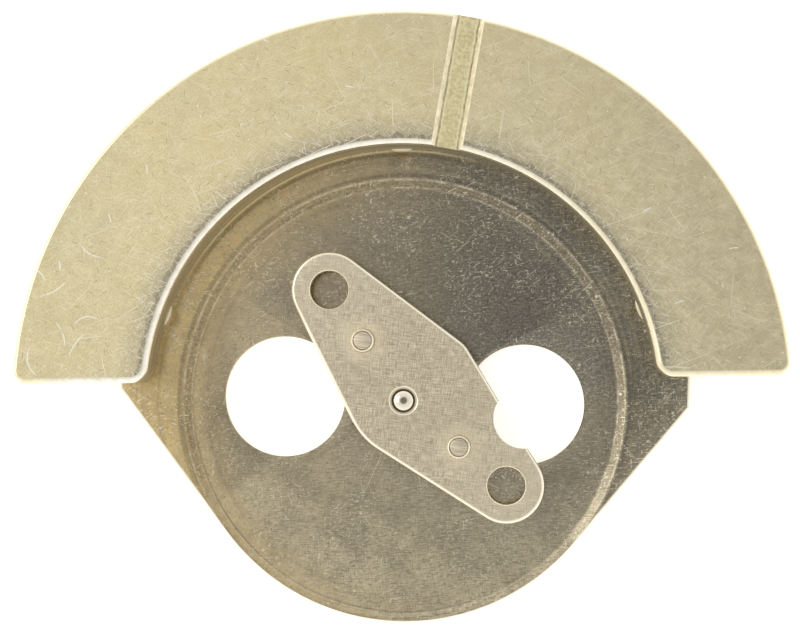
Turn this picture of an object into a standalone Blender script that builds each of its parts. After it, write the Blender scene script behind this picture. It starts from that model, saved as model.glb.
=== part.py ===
"""Rotor module of a self-winding watch: a half-moon weight on a dished plate, which turns about a
fixed axle in a lozenge-shaped bearing plate. Metres, +Z towards the movement. The origin is on the
axle, level with the bearing plate's top face, and +Y points to the middle of the rim."""

import math

import bmesh
import bpy

MM = 0.001

# Levels on the axis, from the bearing plate's top face at zero
BEARING_PLATE_THICK = 0.40 * MM
SHEET_THICK = 0.25 * MM
DISH_TOP = -1.20 * MM
DISH_DEPTH = 0.10 * MM
FLANGE_TOP = DISH_TOP + DISH_DEPTH
BACK = DISH_TOP - SHEET_THICK
RIM_RISE = 2.00 * MM
RIM_TOP = FLANGE_TOP + RIM_RISE

# Rim, in its own axes
RIM_R = 13.00 * MM
RIM_WALL_R = 8.55 * MM
RIM_END_Y = 0.70 * MM
RIM_INNER_FILLET = 0.60 * MM
RIM_OUTER_FILLET = 0.45 * MM
RIM_CHAMFER = 0.20 * MM
RIM_OUTER_CHAMFER = 0.12 * MM
RIM_SKEW = math.radians(0.66)
SEAT_R = 10.37 * MM
GROOVE_TURN = math.radians(80.1)
GROOVE_DEPTH = 0.15 * MM
GROOVE_FLOOR = 0.76 * MM

# Carrier plate, in its own axes
PLATE_SKEW = math.radians(-1.96)
PLATE_LOW_R = 7.54 * MM
PLATE_TOP_R = 10.33 * MM
EAR_X = 9.67 * MM
EAR_Y = 0.08 * MM
PLATE_CHAMFER = 0.10 * MM
DISH_R = 7.22 * MM
DISH_SLOPE = 0.34 * MM
ACCESS_R = 2.04 * MM
ACCESS_X = 4.07 * MM

# Rivets between the rim and the carrier plate
RIVET_REACH = 9.37 * MM
RIVET_SPREAD = math.radians(69.5)
RIVET_SHANK_R = 0.35 * MM
RIVET_TOP = -0.30 * MM
RIVET_COLLAR_R = 0.90 * MM
RIVET_COLLAR_TOP = FLANGE_TOP + 0.11 * MM
RIVET_HEAD_R = 0.60 * MM
RIVET_HEAD_THICK = 0.08 * MM
RIVET_HEAD_EDGE = 0.03 * MM

# Bearing plate, in its own axes: U along the plate, V across it
BEARING_TURN = math.radians(-47.9)
SCREW_U = 4.443 * MM
SCREW_V = 0.650 * MM
SCREW_HOLE_R = 0.64 * MM
SCREW_HOLE_FLARE = 0.04 * MM
LOBE_R = 1.28 * MM
PEAK_V = 2.79 * MM
PEAK_R = 1.00 * MM
HEEL_V = -1.82 * MM
HEEL_R = 2.40 * MM
BITE_U = 3.15 * MM
BITE_V = 2.60 * MM
BITE_R = 1.02 * MM
BEARING_CHAMFER = 0.11 * MM
PIN_U = 2.412 * MM
PIN_V = 0.345 * MM
PIN_R = 0.39 * MM
PIN_TOP = 0.30 * MM
PIN_EDGE = 0.05 * MM

# Axle post, with a domed end in a countersunk hole of the bearing plate
SPIGOT_R = 0.343 * MM
SPIGOT_FLAT_R = 0.10 * MM
SPIGOT_DOME = 0.09 * MM
SINK_R = 0.400 * MM
SINK_DEPTH = 0.14 * MM
SINK_FLARE = 0.092 * MM
SINK_DROP = 0.055 * MM
COLLAR_R = 0.80 * MM
COLLAR_LOW = -0.49 * MM
JOURNAL_R = 0.50 * MM
JOURNAL_END = -1.13 * MM
TAPPED_R = 0.24 * MM
TAPPED_TOP = -0.64 * MM

# Washers and screw on the axle post
THRUST_R = 0.78 * MM
THRUST_TOP = -0.50 * MM
THRUST_THICK = 0.05 * MM
KEEPER_R = 0.82 * MM
KEEPER_TOP = -1.14 * MM
KEEPER_THICK = 0.06 * MM
SCREW_SHANK_R = 0.225 * MM
SCREW_SHANK_TOP = -0.80 * MM
SCREW_HEAD_R = 0.74 * MM
SCREW_HEAD_TOP = -1.21 * MM
SCREW_HEAD_LOW = -1.43 * MM
SCREW_EDGE = 0.04 * MM
SLOT_WIDTH = 0.16 * MM
SLOT_DEPTH = 0.11 * MM

# Hub, bush and pinion
HUB_TOP = -0.58 * MM
HUB_BARREL_R = 0.95 * MM
HUB_FLANGE_R = 1.40 * MM
HUB_FLANGE_TOP = -1.02 * MM
HUB_NECK_R = 0.98 * MM
HUB_LIP_R = 1.18 * MM
HUB_LIP_TOP = -1.35 * MM
HUB_POCKET_R = 0.88 * MM
HUB_SHOULDER = -1.10 * MM
BUSH_R = 0.73 * MM
BUSH_LOW = -1.11 * MM
PINION_TEETH = 18
PINION_TOP = -0.62 * MM
PINION_ROOT_R = 1.24 * MM
PINION_TIP_R = 1.60 * MM
# (share of the tooth pitch, share of the tooth height) round one tooth
TOOTH_FORM = ((0.00, 0.0), (0.22, 0.0), (0.34, 0.6), (0.46, 1.0), (0.64, 1.0), (0.76, 0.6), (0.88, 0.0))

# Clearances and steps
GAP = 0.01 * MM
RUNNING_GAP = 0.015 * MM
OVERSHOOT = 0.5 * MM
MERGE = 1e-7
FLAT = math.radians(0.5)
SHARP = math.radians(30)
RIVET_STEPS = 24
RING_STEPS = 36
DISC_STEPS = 120
ARC_STEP = math.radians(3)
FILLET_STEP = math.radians(15)
DOME_STEPS = 4

STEEL = (0.62, 0.60, 0.56)
DARK_STEEL = (0.40, 0.38, 0.35)
WEIGHT_ALLOY = (0.58, 0.55, 0.44)
PLATE_ALLOY = (0.46, 0.42, 0.34)
BRONZE = (0.62, 0.42, 0.24)


def new_collection(name):
    collection = bpy.data.collections.new(name)
    bpy.context.scene.collection.children.link(collection)
    return collection


def body_empty(name):
    """The empty that a rigid body's pieces hang on. It stands on the axle's axis."""
    empty = bpy.data.objects.new(name, None)
    parts.objects.link(empty)
    return empty


def finish(obj, body, colour, roughness):
    """Hangs a piece on its body and gives it a material of its own."""
    material = bpy.data.materials.new(obj.name)
    material.use_nodes = True
    shader = material.node_tree.nodes["Principled BSDF"]
    shader.inputs["Base Color"].default_value = (*colour, 1.0)
    shader.inputs["Roughness"].default_value = roughness
    shader.inputs["Metallic"].default_value = 1.0
    obj.data.materials.append(material)
    obj.parent = body
    return obj


def solid_from(guide, name, collection):
    """The mesh that a guide object makes, welded, and shaded smooth between its sharp edges."""
    collection.objects.link(guide)
    bpy.context.view_layer.update()
    graph = bpy.context.evaluated_depsgraph_get()
    mesh = bpy.data.meshes.new_from_object(guide.evaluated_get(graph))
    mesh.name = name
    build = bmesh.new()
    build.from_mesh(mesh)
    bmesh.ops.remove_doubles(build, verts=build.verts, dist=MERGE)
    build.to_mesh(mesh)
    build.free()
    mesh.shade_smooth()
    mesh.set_sharp_from_angle(angle=SHARP)
    obj = bpy.data.objects.new(name, mesh)
    obj.matrix_world = guide.matrix_world
    collection.objects.link(obj)
    bpy.data.objects.remove(guide)
    return obj


def turned(name, profile, collection, steps=RING_STEPS):
    """A piece turned about Z. The profile is (radius, level) points that run outwards on top and then
    down the outer side. It starts and ends on the axis, or it is closed and makes a ring."""
    on_axis = profile[0][0] == 0.0 and profile[-1][0] == 0.0
    edges = [(i, i + 1) for i in range(len(profile) - 1)]
    if not on_axis:
        edges.append((len(profile) - 1, 0))
    outline = bpy.data.meshes.new(name + "_profile")
    outline.from_pydata([(radius, 0.0, level) for radius, level in profile], edges, [])
    guide = bpy.data.objects.new(name + "_profile", outline)
    screw = guide.modifiers.new("Turn", "SCREW")
    screw.steps = screw.render_steps = steps
    screw.use_merge_vertices = True
    screw.merge_threshold = MERGE
    return solid_from(guide, name, collection)


def ring(name, inner, outer, low, top, collection):
    profile = [(inner, top), (outer, top), (outer, low), (inner, low)]
    return turned(name, profile, collection)


def arc(centre, radius, start, end, step=ARC_STEP):
    """Points on an arc from one angle to another, with both ends."""
    count = max(2, math.ceil(abs(end - start) / step))
    angles = [start + (end - start) * i / count for i in range(count + 1)]
    return [(centre[0] + radius * math.cos(a), centre[1] + radius * math.sin(a)) for a in angles]


def turn_point(point, angle):
    x, y = point
    return (x * math.cos(angle) - y * math.sin(angle), x * math.sin(angle) + y * math.cos(angle))


def flat_piece(name, outlines, low, top, collection):
    """A flat piece between two levels. The first outline is its edge and the others are holes."""
    curve = bpy.data.curves.new(name, "CURVE")
    curve.dimensions = "2D"
    curve.fill_mode = "BOTH"
    curve.extrude = (top - low) / 2
    for outline in outlines:
        spline = curve.splines.new("POLY")
        spline.points.add(len(outline) - 1)
        for point, (x, y) in zip(spline.points, outline):
            point.co = (x, y, 0.0, 1.0)
        spline.use_cyclic_u = True
    obj = solid_from(bpy.data.objects.new(name + "_outline", curve), name, collection)
    build = bmesh.new()
    build.from_mesh(obj.data)
    bmesh.ops.dissolve_limit(build, angle_limit=FLAT, verts=build.verts, edges=build.edges)
    bmesh.ops.recalc_face_normals(build, faces=build.faces)
    bmesh.ops.translate(build, verts=build.verts, vec=(0.0, 0.0, (low + top) / 2))
    build.to_mesh(obj.data)
    build.free()
    return obj


def chamfered_piece(name, outline, low, top, width_at, collection):
    """A flat piece with a 45 degree chamfer round its top face, lofted through three rings of points,
    because width_at gives each point of the anticlockwise outline its own chamfer width."""
    rings = ([], [], [])
    for i, here in enumerate(outline):
        before, after = outline[i - 1], outline[(i + 1) % len(outline)]
        inward = math.atan2(here[1] - before[1], here[0] - before[0])
        outward = math.atan2(after[1] - here[1], after[0] - here[0])
        half_turn = ((outward - inward + math.pi) % math.tau - math.pi) / 2
        width = width_at(here)
        step = turn_point((0.0, width / math.cos(half_turn)), inward + half_turn)
        rings[0].append((*here, low))
        rings[1].append((*here, top - width))
        rings[2].append((here[0] + step[0], here[1] + step[1], top))
    build = bmesh.new()
    verts = [[build.verts.new(point) for point in row] for row in rings]
    for lower, upper in zip(verts, verts[1:]):
        for i in range(len(lower)):
            build.faces.new((lower[i - 1], lower[i], upper[i], upper[i - 1]))
    build.faces.new(verts[0])
    build.faces.new(verts[2])
    bmesh.ops.recalc_face_normals(build, faces=build.faces)
    mesh = bpy.data.meshes.new(name)
    build.to_mesh(mesh)
    build.free()
    mesh.shade_smooth()
    mesh.set_sharp_from_angle(angle=SHARP)
    obj = bpy.data.objects.new(name, mesh)
    collection.objects.link(obj)
    return obj


def combine(obj, tool, operation="DIFFERENCE"):
    """Cuts a piece with a helper, or keeps only what lies inside the helper."""
    tool.hide_render = True
    tool.display_type = "WIRE"
    boolean = obj.modifiers.new(tool.name, "BOOLEAN")
    boolean.operation = operation
    boolean.object = tool


def cut_turned(obj, name, place, profile, steps=RING_STEPS):
    tool = turned(name, profile, cutters, steps)
    tool.location = (*place, 0.0)
    combine(obj, tool)


def drill(obj, name, place, radius, low, top, flare=0.0, steps=RING_STEPS):
    """A round hole right through a piece. A flare opens its top edge at 45 degrees."""
    above, below = top + OVERSHOOT, low - OVERSHOOT
    if flare:
        mouth = [(radius + flare + OVERSHOOT, above), (radius, top - flare)]
    else:
        mouth = [(radius, above)]
    cut_turned(obj, name, place, [(0.0, above), *mouth, (radius, below), (0.0, below)], steps)


def rivet_places():
    """Name and place of each rivet, from right to left."""
    sides = (("right", -RIVET_SPREAD), ("middle", 0.0), ("left", RIVET_SPREAD))
    middle = math.pi / 2 + RIM_SKEW
    return [(side, turn_point((RIVET_REACH, 0.0), middle + turn)) for side, turn in sides]


# Bearing side, which the movement holds still


def hull_of_discs(discs):
    """The outline of a band stretched round discs, which are (centre, radius) in anticlockwise order."""
    normals = []
    for (here, here_r), (there, there_r) in zip(discs, discs[1:] + discs[:1]):
        dx, dy = there[0] - here[0], there[1] - here[1]
        lean = math.acos((here_r - there_r) / math.hypot(dx, dy))
        normals.append(math.atan2(dy, dx) - lean)
    points = []
    for i, (centre, radius) in enumerate(discs):
        start, end = normals[i - 1], normals[i]
        while end < start:
            end += math.tau
        points += arc(centre, radius, start, end, FILLET_STEP / 2)
    return points


def bearing_chamfer(point):
    return BEARING_CHAMFER


def bearing_plate():
    discs = [
        ((0.0, HEEL_V + HEEL_R), HEEL_R),
        ((SCREW_U, SCREW_V), LOBE_R),
        ((0.0, PEAK_V - PEAK_R), PEAK_R),
        ((-SCREW_U, SCREW_V), LOBE_R),
    ]
    low = -BEARING_PLATE_THICK
    outline = hull_of_discs(discs)
    obj = chamfered_piece("bearing_plate", outline, low, 0.0, bearing_chamfer, parts)
    obj.rotation_euler.z = BEARING_TURN
    drill(obj, "bite", turn_point((BITE_U, BITE_V), BEARING_TURN), BITE_R, low, 0.0)
    for name, side in (("upper", -1), ("lower", 1)):
        screw = turn_point((side * SCREW_U, SCREW_V), BEARING_TURN)
        drill(obj, f"screw_hole_{name}", screw, SCREW_HOLE_R, low, 0.0, SCREW_HOLE_FLARE)
        pin = turn_point((side * PIN_U, PIN_V), BEARING_TURN)
        drill(obj, f"pin_hole_{name}", pin, PIN_R + GAP, low, 0.0)
    mouth = SINK_R + SINK_FLARE
    profile = [
        (0.0, OVERSHOOT),
        (mouth, OVERSHOOT),
        (mouth, 0.0),
        (SINK_R, -SINK_DROP),
        (SINK_R, -SINK_DEPTH),
        (SPIGOT_R + GAP, -SINK_DEPTH),
        (SPIGOT_R + GAP, low - OVERSHOOT),
        (0.0, low - OVERSHOOT),
    ]
    cut_turned(obj, "spigot_hole", (0.0, 0.0), profile)
    finish(obj, bridge, STEEL, 0.30)


def steady_pins():
    low = GAP - BEARING_PLATE_THICK
    for name, side in (("upper", -1), ("lower", 1)):
        profile = [(0.0, PIN_TOP), (PIN_R - PIN_EDGE, PIN_TOP), (PIN_R, PIN_TOP - PIN_EDGE)]
        profile += [(PIN_R, low), (0.0, low)]
        obj = turned(f"steady_pin_{name}", profile, parts)
        obj.location = (*turn_point((side * PIN_U, PIN_V), BEARING_TURN), 0.0)
        finish(obj, bridge, STEEL, 0.28)


def axle_post():
    collar_top = -BEARING_PLATE_THICK - GAP
    profile = [(0.0, 0.0)]
    for i in range(DOME_STEPS + 1):
        share = i / DOME_STEPS
        radius = SPIGOT_FLAT_R + (SPIGOT_R - SPIGOT_FLAT_R) * share
        profile.append((radius, -SPIGOT_DOME * share**2))
    profile += [
        (SPIGOT_R, collar_top),
        (COLLAR_R, collar_top),
        (COLLAR_R, COLLAR_LOW),
        (JOURNAL_R, COLLAR_LOW),
        (JOURNAL_R, JOURNAL_END),
        (TAPPED_R, JOURNAL_END),
        (TAPPED_R, TAPPED_TOP),
        (0.0, TAPPED_TOP),
    ]
    finish(turned("axle_post", profile, parts), bridge, STEEL, 0.08)


def washers():
    inner = JOURNAL_R + RUNNING_GAP
    low = THRUST_TOP - THRUST_THICK
    thrust = ring("thrust_washer", inner, THRUST_R, low, THRUST_TOP, parts)
    finish(thrust, bridge, BRONZE, 0.3)
    inner = SCREW_SHANK_R + RUNNING_GAP
    low = KEEPER_TOP - KEEPER_THICK
    keeper = ring("retaining_washer", inner, KEEPER_R, low, KEEPER_TOP, parts)
    finish(keeper, bridge, STEEL, 0.3)


def retaining_screw():
    profile = [
        (0.0, SCREW_SHANK_TOP),
        (SCREW_SHANK_R, SCREW_SHANK_TOP),
        (SCREW_SHANK_R, SCREW_HEAD_TOP),
        (SCREW_HEAD_R, SCREW_HEAD_TOP),
        (SCREW_HEAD_R, SCREW_HEAD_LOW + SCREW_EDGE),
        (SCREW_HEAD_R - SCREW_EDGE, SCREW_HEAD_LOW),
        (0.0, SCREW_HEAD_LOW),
    ]
    obj = turned("retaining_screw", profile, parts)
    bpy.ops.mesh.primitive_cube_add(size=1.0, location=(0.0, 0.0, SCREW_HEAD_LOW))
    slot = bpy.context.object
    slot.name = "screw_slot"
    slot.dimensions = (4 * SCREW_HEAD_R, SLOT_WIDTH, 2 * SLOT_DEPTH)
    for collection in slot.users_collection:
        collection.objects.unlink(slot)
    cutters.objects.link(slot)
    combine(obj, slot)
    finish(obj, bridge, DARK_STEEL, 0.2)


# Turning side


def rim_outline():
    """Half ring with rounded corners, anticlockwise from its right outer corner."""
    inner_y = RIM_END_Y + RIM_INNER_FILLET
    inner_x = math.sqrt((RIM_WALL_R + RIM_INNER_FILLET) ** 2 - inner_y**2)
    inner_turn = math.atan2(inner_y, inner_x)
    outer_y = RIM_END_Y + RIM_OUTER_FILLET
    outer_x = math.sqrt((RIM_R - RIM_OUTER_FILLET) ** 2 - outer_y**2)
    outer_turn = math.atan2(outer_y, outer_x)
    half, down = math.pi, 1.5 * math.pi
    outer_left, outer_right = (-outer_x, outer_y), (outer_x, outer_y)
    inner_left, inner_right = (-inner_x, inner_y), (inner_x, inner_y)
    points = arc((0.0, 0.0), RIM_R, outer_turn, half - outer_turn)
    points += arc(outer_left, RIM_OUTER_FILLET, half - outer_turn, down, FILLET_STEP)[1:]
    points += arc(inner_left, RIM_INNER_FILLET, down, math.tau - inner_turn, FILLET_STEP)
    points += arc((0.0, 0.0), RIM_WALL_R, half - inner_turn, inner_turn)[1:]
    points += arc(inner_right, RIM_INNER_FILLET, half + inner_turn, down, FILLET_STEP)[1:]
    points += arc(outer_right, RIM_OUTER_FILLET, down, math.tau + outer_turn, FILLET_STEP)[:-1]
    return points


def rim_chamfer(point):
    """Full width on the inner edge and the ends, thinner round the outer corners to the outer edge."""
    past = (math.hypot(*point) - RIM_R + RIM_OUTER_FILLET) / RIM_OUTER_FILLET
    return RIM_CHAMFER + (RIM_OUTER_CHAMFER - RIM_CHAMFER) * min(1.0, max(0.0, past))


def groove_tool():
    """A bar with sloping sides along the rim's radius, deep enough to cut the groove."""
    slope = GROOVE_DEPTH
    half_floor = GROOVE_FLOOR / 2
    half_mouth = half_floor + 2 * slope
    section = [(-half_floor, -slope), (half_floor, -slope), (half_mouth, slope), (-half_mouth, slope)]
    length = RIM_R - RIM_WALL_R + 2 * OVERSHOOT
    tool = flat_piece("groove", [section], -length / 2, length / 2, cutters)
    tool.rotation_euler = (math.pi / 2, 0.0, GROOVE_TURN + math.pi / 2)
    tool.location = (*turn_point(((RIM_R + RIM_WALL_R) / 2, 0.0), GROOVE_TURN), RIM_TOP)
    return tool


def weight_rim():
    obj = chamfered_piece("weight_rim", rim_outline(), BACK, RIM_TOP, rim_chamfer, parts)
    obj.rotation_euler.z = RIM_SKEW
    seat, below = FLANGE_TOP + GAP, BACK - OVERSHOOT
    profile = [(0.0, seat), (SEAT_R, seat), (SEAT_R, below), (0.0, below)]
    cut_turned(obj, "plate_seat", (0.0, 0.0), profile, DISC_STEPS)
    shank, collar = RIVET_SHANK_R + GAP, RIVET_COLLAR_R + GAP
    profile = [(0.0, RIVET_TOP + GAP), (shank, RIVET_TOP + GAP), (shank, RIVET_COLLAR_TOP + GAP)]
    profile += [(collar, RIVET_COLLAR_TOP + GAP), (collar, below), (0.0, below)]
    for side, place in rivet_places():
        cut_turned(obj, f"rivet_pocket_{side}", place, profile, RIVET_STEPS)
    combine(obj, groove_tool())
    finish(obj, rotor, WEIGHT_ALLOY, 0.35)


def plate_outline():
    """Round below, straight from the round to two ears, straight up and round under the rim."""
    ear_reach = math.hypot(EAR_X, EAR_Y)
    ear_turn = math.atan2(EAR_Y, EAR_X)
    touch = ear_turn - math.acos(PLATE_LOW_R / ear_reach)
    top_turn = math.acos(EAR_X / PLATE_TOP_R)
    points = [(EAR_X, EAR_Y)]
    points += arc((0.0, 0.0), PLATE_TOP_R, top_turn, math.pi - top_turn)
    points += [(-EAR_X, EAR_Y)]
    points += arc((0.0, 0.0), PLATE_LOW_R, math.pi - touch, math.tau + touch)
    return points


def plate_chamfer(point):
    return PLATE_CHAMFER


def carrier_plate():
    bend = SHEET_THICK * math.tan(math.atan2(DISH_DEPTH, DISH_SLOPE) / 2)
    foot, brow = DISH_R, DISH_R + DISH_SLOPE
    edge = PLATE_TOP_R + OVERSHOOT
    flange_low = FLANGE_TOP - SHEET_THICK
    profile = [(0.0, DISH_TOP), (foot, DISH_TOP), (brow, FLANGE_TOP), (edge, FLANGE_TOP)]
    profile += [(edge, flange_low), (brow + bend, flange_low), (foot + bend, BACK), (0.0, BACK)]
    obj = turned("carrier_plate", profile, parts, DISC_STEPS)
    levels = (BACK - OVERSHOOT, FLANGE_TOP + GAP / 2)
    blank = chamfered_piece("plate_blank", plate_outline(), *levels, plate_chamfer, cutters)
    blank.rotation_euler.z = PLATE_SKEW
    combine(obj, blank, "INTERSECT")
    for name, side in (("left", -1), ("right", 1)):
        place = turn_point((side * ACCESS_X, 0.0), PLATE_SKEW)
        drill(obj, f"access_hole_{name}", place, ACCESS_R, BACK, DISH_TOP, steps=2 * RING_STEPS)
    for side, place in rivet_places():
        shank = RIVET_SHANK_R + GAP
        drill(obj, f"rivet_hole_{side}", place, shank, flange_low, FLANGE_TOP, steps=RIVET_STEPS)
    neck, lip = HUB_NECK_R + GAP, HUB_LIP_R + 2 * GAP
    above, below = DISH_TOP + OVERSHOOT, BACK - OVERSHOOT
    profile = [(0.0, above), (neck, above), (neck, HUB_LIP_TOP), (lip, BACK), (lip, below)]
    cut_turned(obj, "hub_hole", (0.0, 0.0), [*profile, (0.0, below)])
    finish(obj, rotor, PLATE_ALLOY, 0.22)


def rim_rivets():
    flange_low = FLANGE_TOP - SHEET_THICK - GAP
    head_low = flange_low - RIVET_HEAD_THICK
    profile = [
        (0.0, RIVET_TOP),
        (RIVET_SHANK_R, RIVET_TOP),
        (RIVET_SHANK_R, RIVET_COLLAR_TOP),
        (RIVET_COLLAR_R, RIVET_COLLAR_TOP),
        (RIVET_COLLAR_R, FLANGE_TOP + GAP),
        (RIVET_SHANK_R, FLANGE_TOP + GAP),
        (RIVET_SHANK_R, flange_low),
        (RIVET_HEAD_R, flange_low),
        (RIVET_HEAD_R, head_low + RIVET_HEAD_EDGE),
        (RIVET_HEAD_R - RIVET_HEAD_EDGE, head_low),
        (0.0, head_low),
    ]
    for side, place in rivet_places():
        obj = turned(f"rim_rivet_{side}", profile, parts, RIVET_STEPS)
        obj.location = (*place, 0.0)
        finish(obj, rotor, STEEL, 0.25)


def hub():
    bore, low = BUSH_R + GAP, BACK + GAP
    flange_low = DISH_TOP + GAP
    profile = [
        (bore, HUB_TOP),
        (HUB_BARREL_R, HUB_TOP),
        (HUB_BARREL_R, HUB_FLANGE_TOP),
        (HUB_FLANGE_R, HUB_FLANGE_TOP),
        (HUB_FLANGE_R, flange_low),
        (HUB_NECK_R, flange_low),
        (HUB_NECK_R, HUB_LIP_TOP),
        (HUB_LIP_R, low),
        (HUB_POCKET_R, low),
        (HUB_POCKET_R, HUB_SHOULDER),
        (bore, HUB_SHOULDER),
    ]
    finish(turned("hub", profile, parts), rotor, STEEL, 0.25)


def bearing_bush():
    obj = ring("bearing_bush", JOURNAL_R + RUNNING_GAP, BUSH_R, BUSH_LOW, HUB_TOP, parts)
    finish(obj, rotor, BRONZE, 0.25)


def drive_pinion():
    pitch = math.tau / PINION_TEETH
    height = PINION_TIP_R - PINION_ROOT_R
    teeth = [
        turn_point((PINION_ROOT_R + rise * height, 0.0), (tooth + along) * pitch)
        for tooth in range(PINION_TEETH)
        for along, rise in TOOTH_FORM
    ]
    bore = arc((0.0, 0.0), HUB_BARREL_R + GAP, 0.0, math.tau, math.tau / RING_STEPS)[:-1]
    low = HUB_FLANGE_TOP + GAP
    obj = flat_piece("drive_pinion", [teeth, bore], low, PINION_TOP, parts)
    finish(obj, rotor, STEEL, 0.2)


for old in list(bpy.data.objects):
    bpy.data.objects.remove(old)
parts = new_collection("rotor_module")
cutters = new_collection("cutters")
bridge = body_empty("bearing_bridge")
rotor = body_empty("rotor")

bearing_plate()
steady_pins()
axle_post()
washers()
retaining_screw()
weight_rim()
carrier_plate()
rim_rivets()
hub()
bearing_bush()
drive_pinion()
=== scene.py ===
"""Detailed model of a self-winding watch's rotor module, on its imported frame. +Z points to the
movement, and +Y to the middle of the weight's rim. All sizes are in metres."""

import math

import bmesh
import bpy
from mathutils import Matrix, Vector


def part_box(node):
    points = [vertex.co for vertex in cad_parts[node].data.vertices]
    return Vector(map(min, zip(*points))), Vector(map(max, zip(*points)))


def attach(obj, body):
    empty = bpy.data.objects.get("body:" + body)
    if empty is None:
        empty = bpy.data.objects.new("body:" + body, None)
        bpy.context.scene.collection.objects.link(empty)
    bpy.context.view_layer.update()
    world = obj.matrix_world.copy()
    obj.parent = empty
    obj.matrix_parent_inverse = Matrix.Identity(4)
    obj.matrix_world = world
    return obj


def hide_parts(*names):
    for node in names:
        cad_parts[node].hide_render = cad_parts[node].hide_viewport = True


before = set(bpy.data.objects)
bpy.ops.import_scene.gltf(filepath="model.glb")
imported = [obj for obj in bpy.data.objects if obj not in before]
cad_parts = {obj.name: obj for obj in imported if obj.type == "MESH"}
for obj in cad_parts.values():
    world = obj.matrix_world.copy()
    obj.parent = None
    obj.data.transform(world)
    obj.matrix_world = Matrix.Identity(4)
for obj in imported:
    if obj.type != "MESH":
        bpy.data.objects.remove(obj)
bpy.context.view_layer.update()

MM = 0.001

# Material slot names shared by several nodes.
RIVETS = ("rim_rivet_right", "rim_rivet_middle", "rim_rivet_left")
PINS = ("steady_pin_upper", "steady_pin_lower")
SLOTS = {**dict.fromkeys(RIVETS, "rim_rivet"), **dict.fromkeys(PINS, "steady_pin")}

# Levels, from the frame
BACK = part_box("weight_rim")[0].z
RIM_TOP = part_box("weight_rim")[1].z
FLANGE_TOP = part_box("carrier_plate")[1].z
BEARING_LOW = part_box("bearing_plate")[0].z
BEARING_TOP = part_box("bearing_plate")[1].z
SHEET_THICK = 0.25 * MM
DISH_TOP = BACK + SHEET_THICK

# Rim, in its own axes
RIM_R = 13.00 * MM
RIM_WALL_R = 8.55 * MM
WALL = RIM_WALL_R / MM  # in millimetres, for the materials
RIM_END_Y = 0.70 * MM
RIM_INNER_FILLET = 0.60 * MM
RIM_OUTER_FILLET = 0.45 * MM
RIM_CHAMFER = 0.20 * MM
RIM_OUTER_CHAMFER = 0.12 * MM
RIM_SKEW = math.radians(0.66)
SEAT_R = 10.37 * MM
GROOVE_TURN = math.radians(80.1)
GROOVE_DEPTH = 0.15 * MM
GROOVE_FLOOR = 0.76 * MM

# Carrier plate, in its own axes
PLATE_SKEW = math.radians(-1.96)
PLATE_LOW_R = 7.54 * MM
PLATE_TOP_R = 10.33 * MM
EAR_X = 9.67 * MM
EAR_Y = 0.08 * MM
PLATE_CHAMFER = 0.10 * MM
DISH_R = 7.22 * MM
DISH_SLOPE = 0.34 * MM
DISH_BEND = 0.06 * MM
ACCESS_R = 2.04 * MM
ACCESS_X = 4.07 * MM
PLATE_BRUSH_TURN = 0.05
PLATE_COOL_SPOT = (3.6 * MM, 3.2 * MM)

# Rivets
RIVET_SHANK_R = 0.35 * MM
RIVET_COLLAR_R = 0.90 * MM
RIVET_COLLAR_TOP = FLANGE_TOP + 0.11 * MM
RIVET_HEAD_R = 0.60 * MM
RIVET_HEAD_DOME = 0.03 * MM

# Bearing plate, in its own axes: U along the plate, V across it
BEARING_TURN = math.radians(-47.9)
SCREW_U = 4.443 * MM
SCREW_V = 0.650 * MM
SCREW_HOLE_R = 0.64 * MM
HOLE_FLARE = 0.03 * MM
LOBE_R = 1.28 * MM
PEAK_V = 2.79 * MM
PEAK_R = 1.00 * MM
HEEL_V = -1.82 * MM
HEEL_R = 2.40 * MM
BITE_U = 3.15 * MM
BITE_V = 2.60 * MM
BITE_R = 1.02 * MM
BEARING_CHAMFER = 0.11 * MM
BRUSH_TURN = math.radians(-8)
PIN_EDGE = 0.05 * MM
# (edge widths inward, edge widths down) across a pin's end, from its middle to its side
PIN_FORM = ((2.2, 0.3), (1.6, 0.8), (1.2, 0.0), (0.7, 0.0), (0.0, 1.0))

# Axle post and its hole
SPIGOT_R = 0.343 * MM
SPIGOT_FLAT_R = 0.10 * MM
SPIGOT_DOME = 0.09 * MM
SINK_R = 0.400 * MM
SINK_DEPTH = 0.14 * MM
SINK_FLARE = 0.092 * MM
SINK_DROP = 0.055 * MM
COLLAR_LOW = -0.49 * MM
JOURNAL_R = 0.50 * MM
TAPPED_R = 0.24 * MM
TAPPED_TOP = -0.64 * MM

# Screw, hub and pinion
SCREW_SHANK_R = 0.225 * MM
SCREW_HEAD_TOP = -1.21 * MM
SCREW_EDGE = 0.04 * MM
SLOT_WIDTH = 0.16 * MM
SLOT_DEPTH = 0.11 * MM
HUB_BARREL_R = 0.95 * MM
HUB_FLANGE_R = 1.40 * MM
HUB_FLANGE_TOP = -1.02 * MM
HUB_NECK_R = 0.98 * MM
HUB_LIP_R = 1.18 * MM
HUB_LIP_TOP = -1.35 * MM
HUB_POCKET_R = 0.88 * MM
HUB_SHOULDER = -1.10 * MM
PINION_TEETH = 18
PINION_ROOT_R = 1.24 * MM
PINION_TIP_R = 1.60 * MM
# (share of the tooth pitch, share of the tooth height) round one tooth
TOOTH_FORM = ((0.00, 0.0), (0.22, 0.0), (0.34, 0.6), (0.46, 1.0), (0.64, 1.0), (0.76, 0.6), (0.88, 0.0))
# (share of a chamfer's width inward, share of it down) from the wall to the top face
EDGE_FORM = ((0.0, 1.0), (0.06, 0.66), (0.25, 0.36), (0.70, 0.08), (1.0, 0.0))

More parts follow.
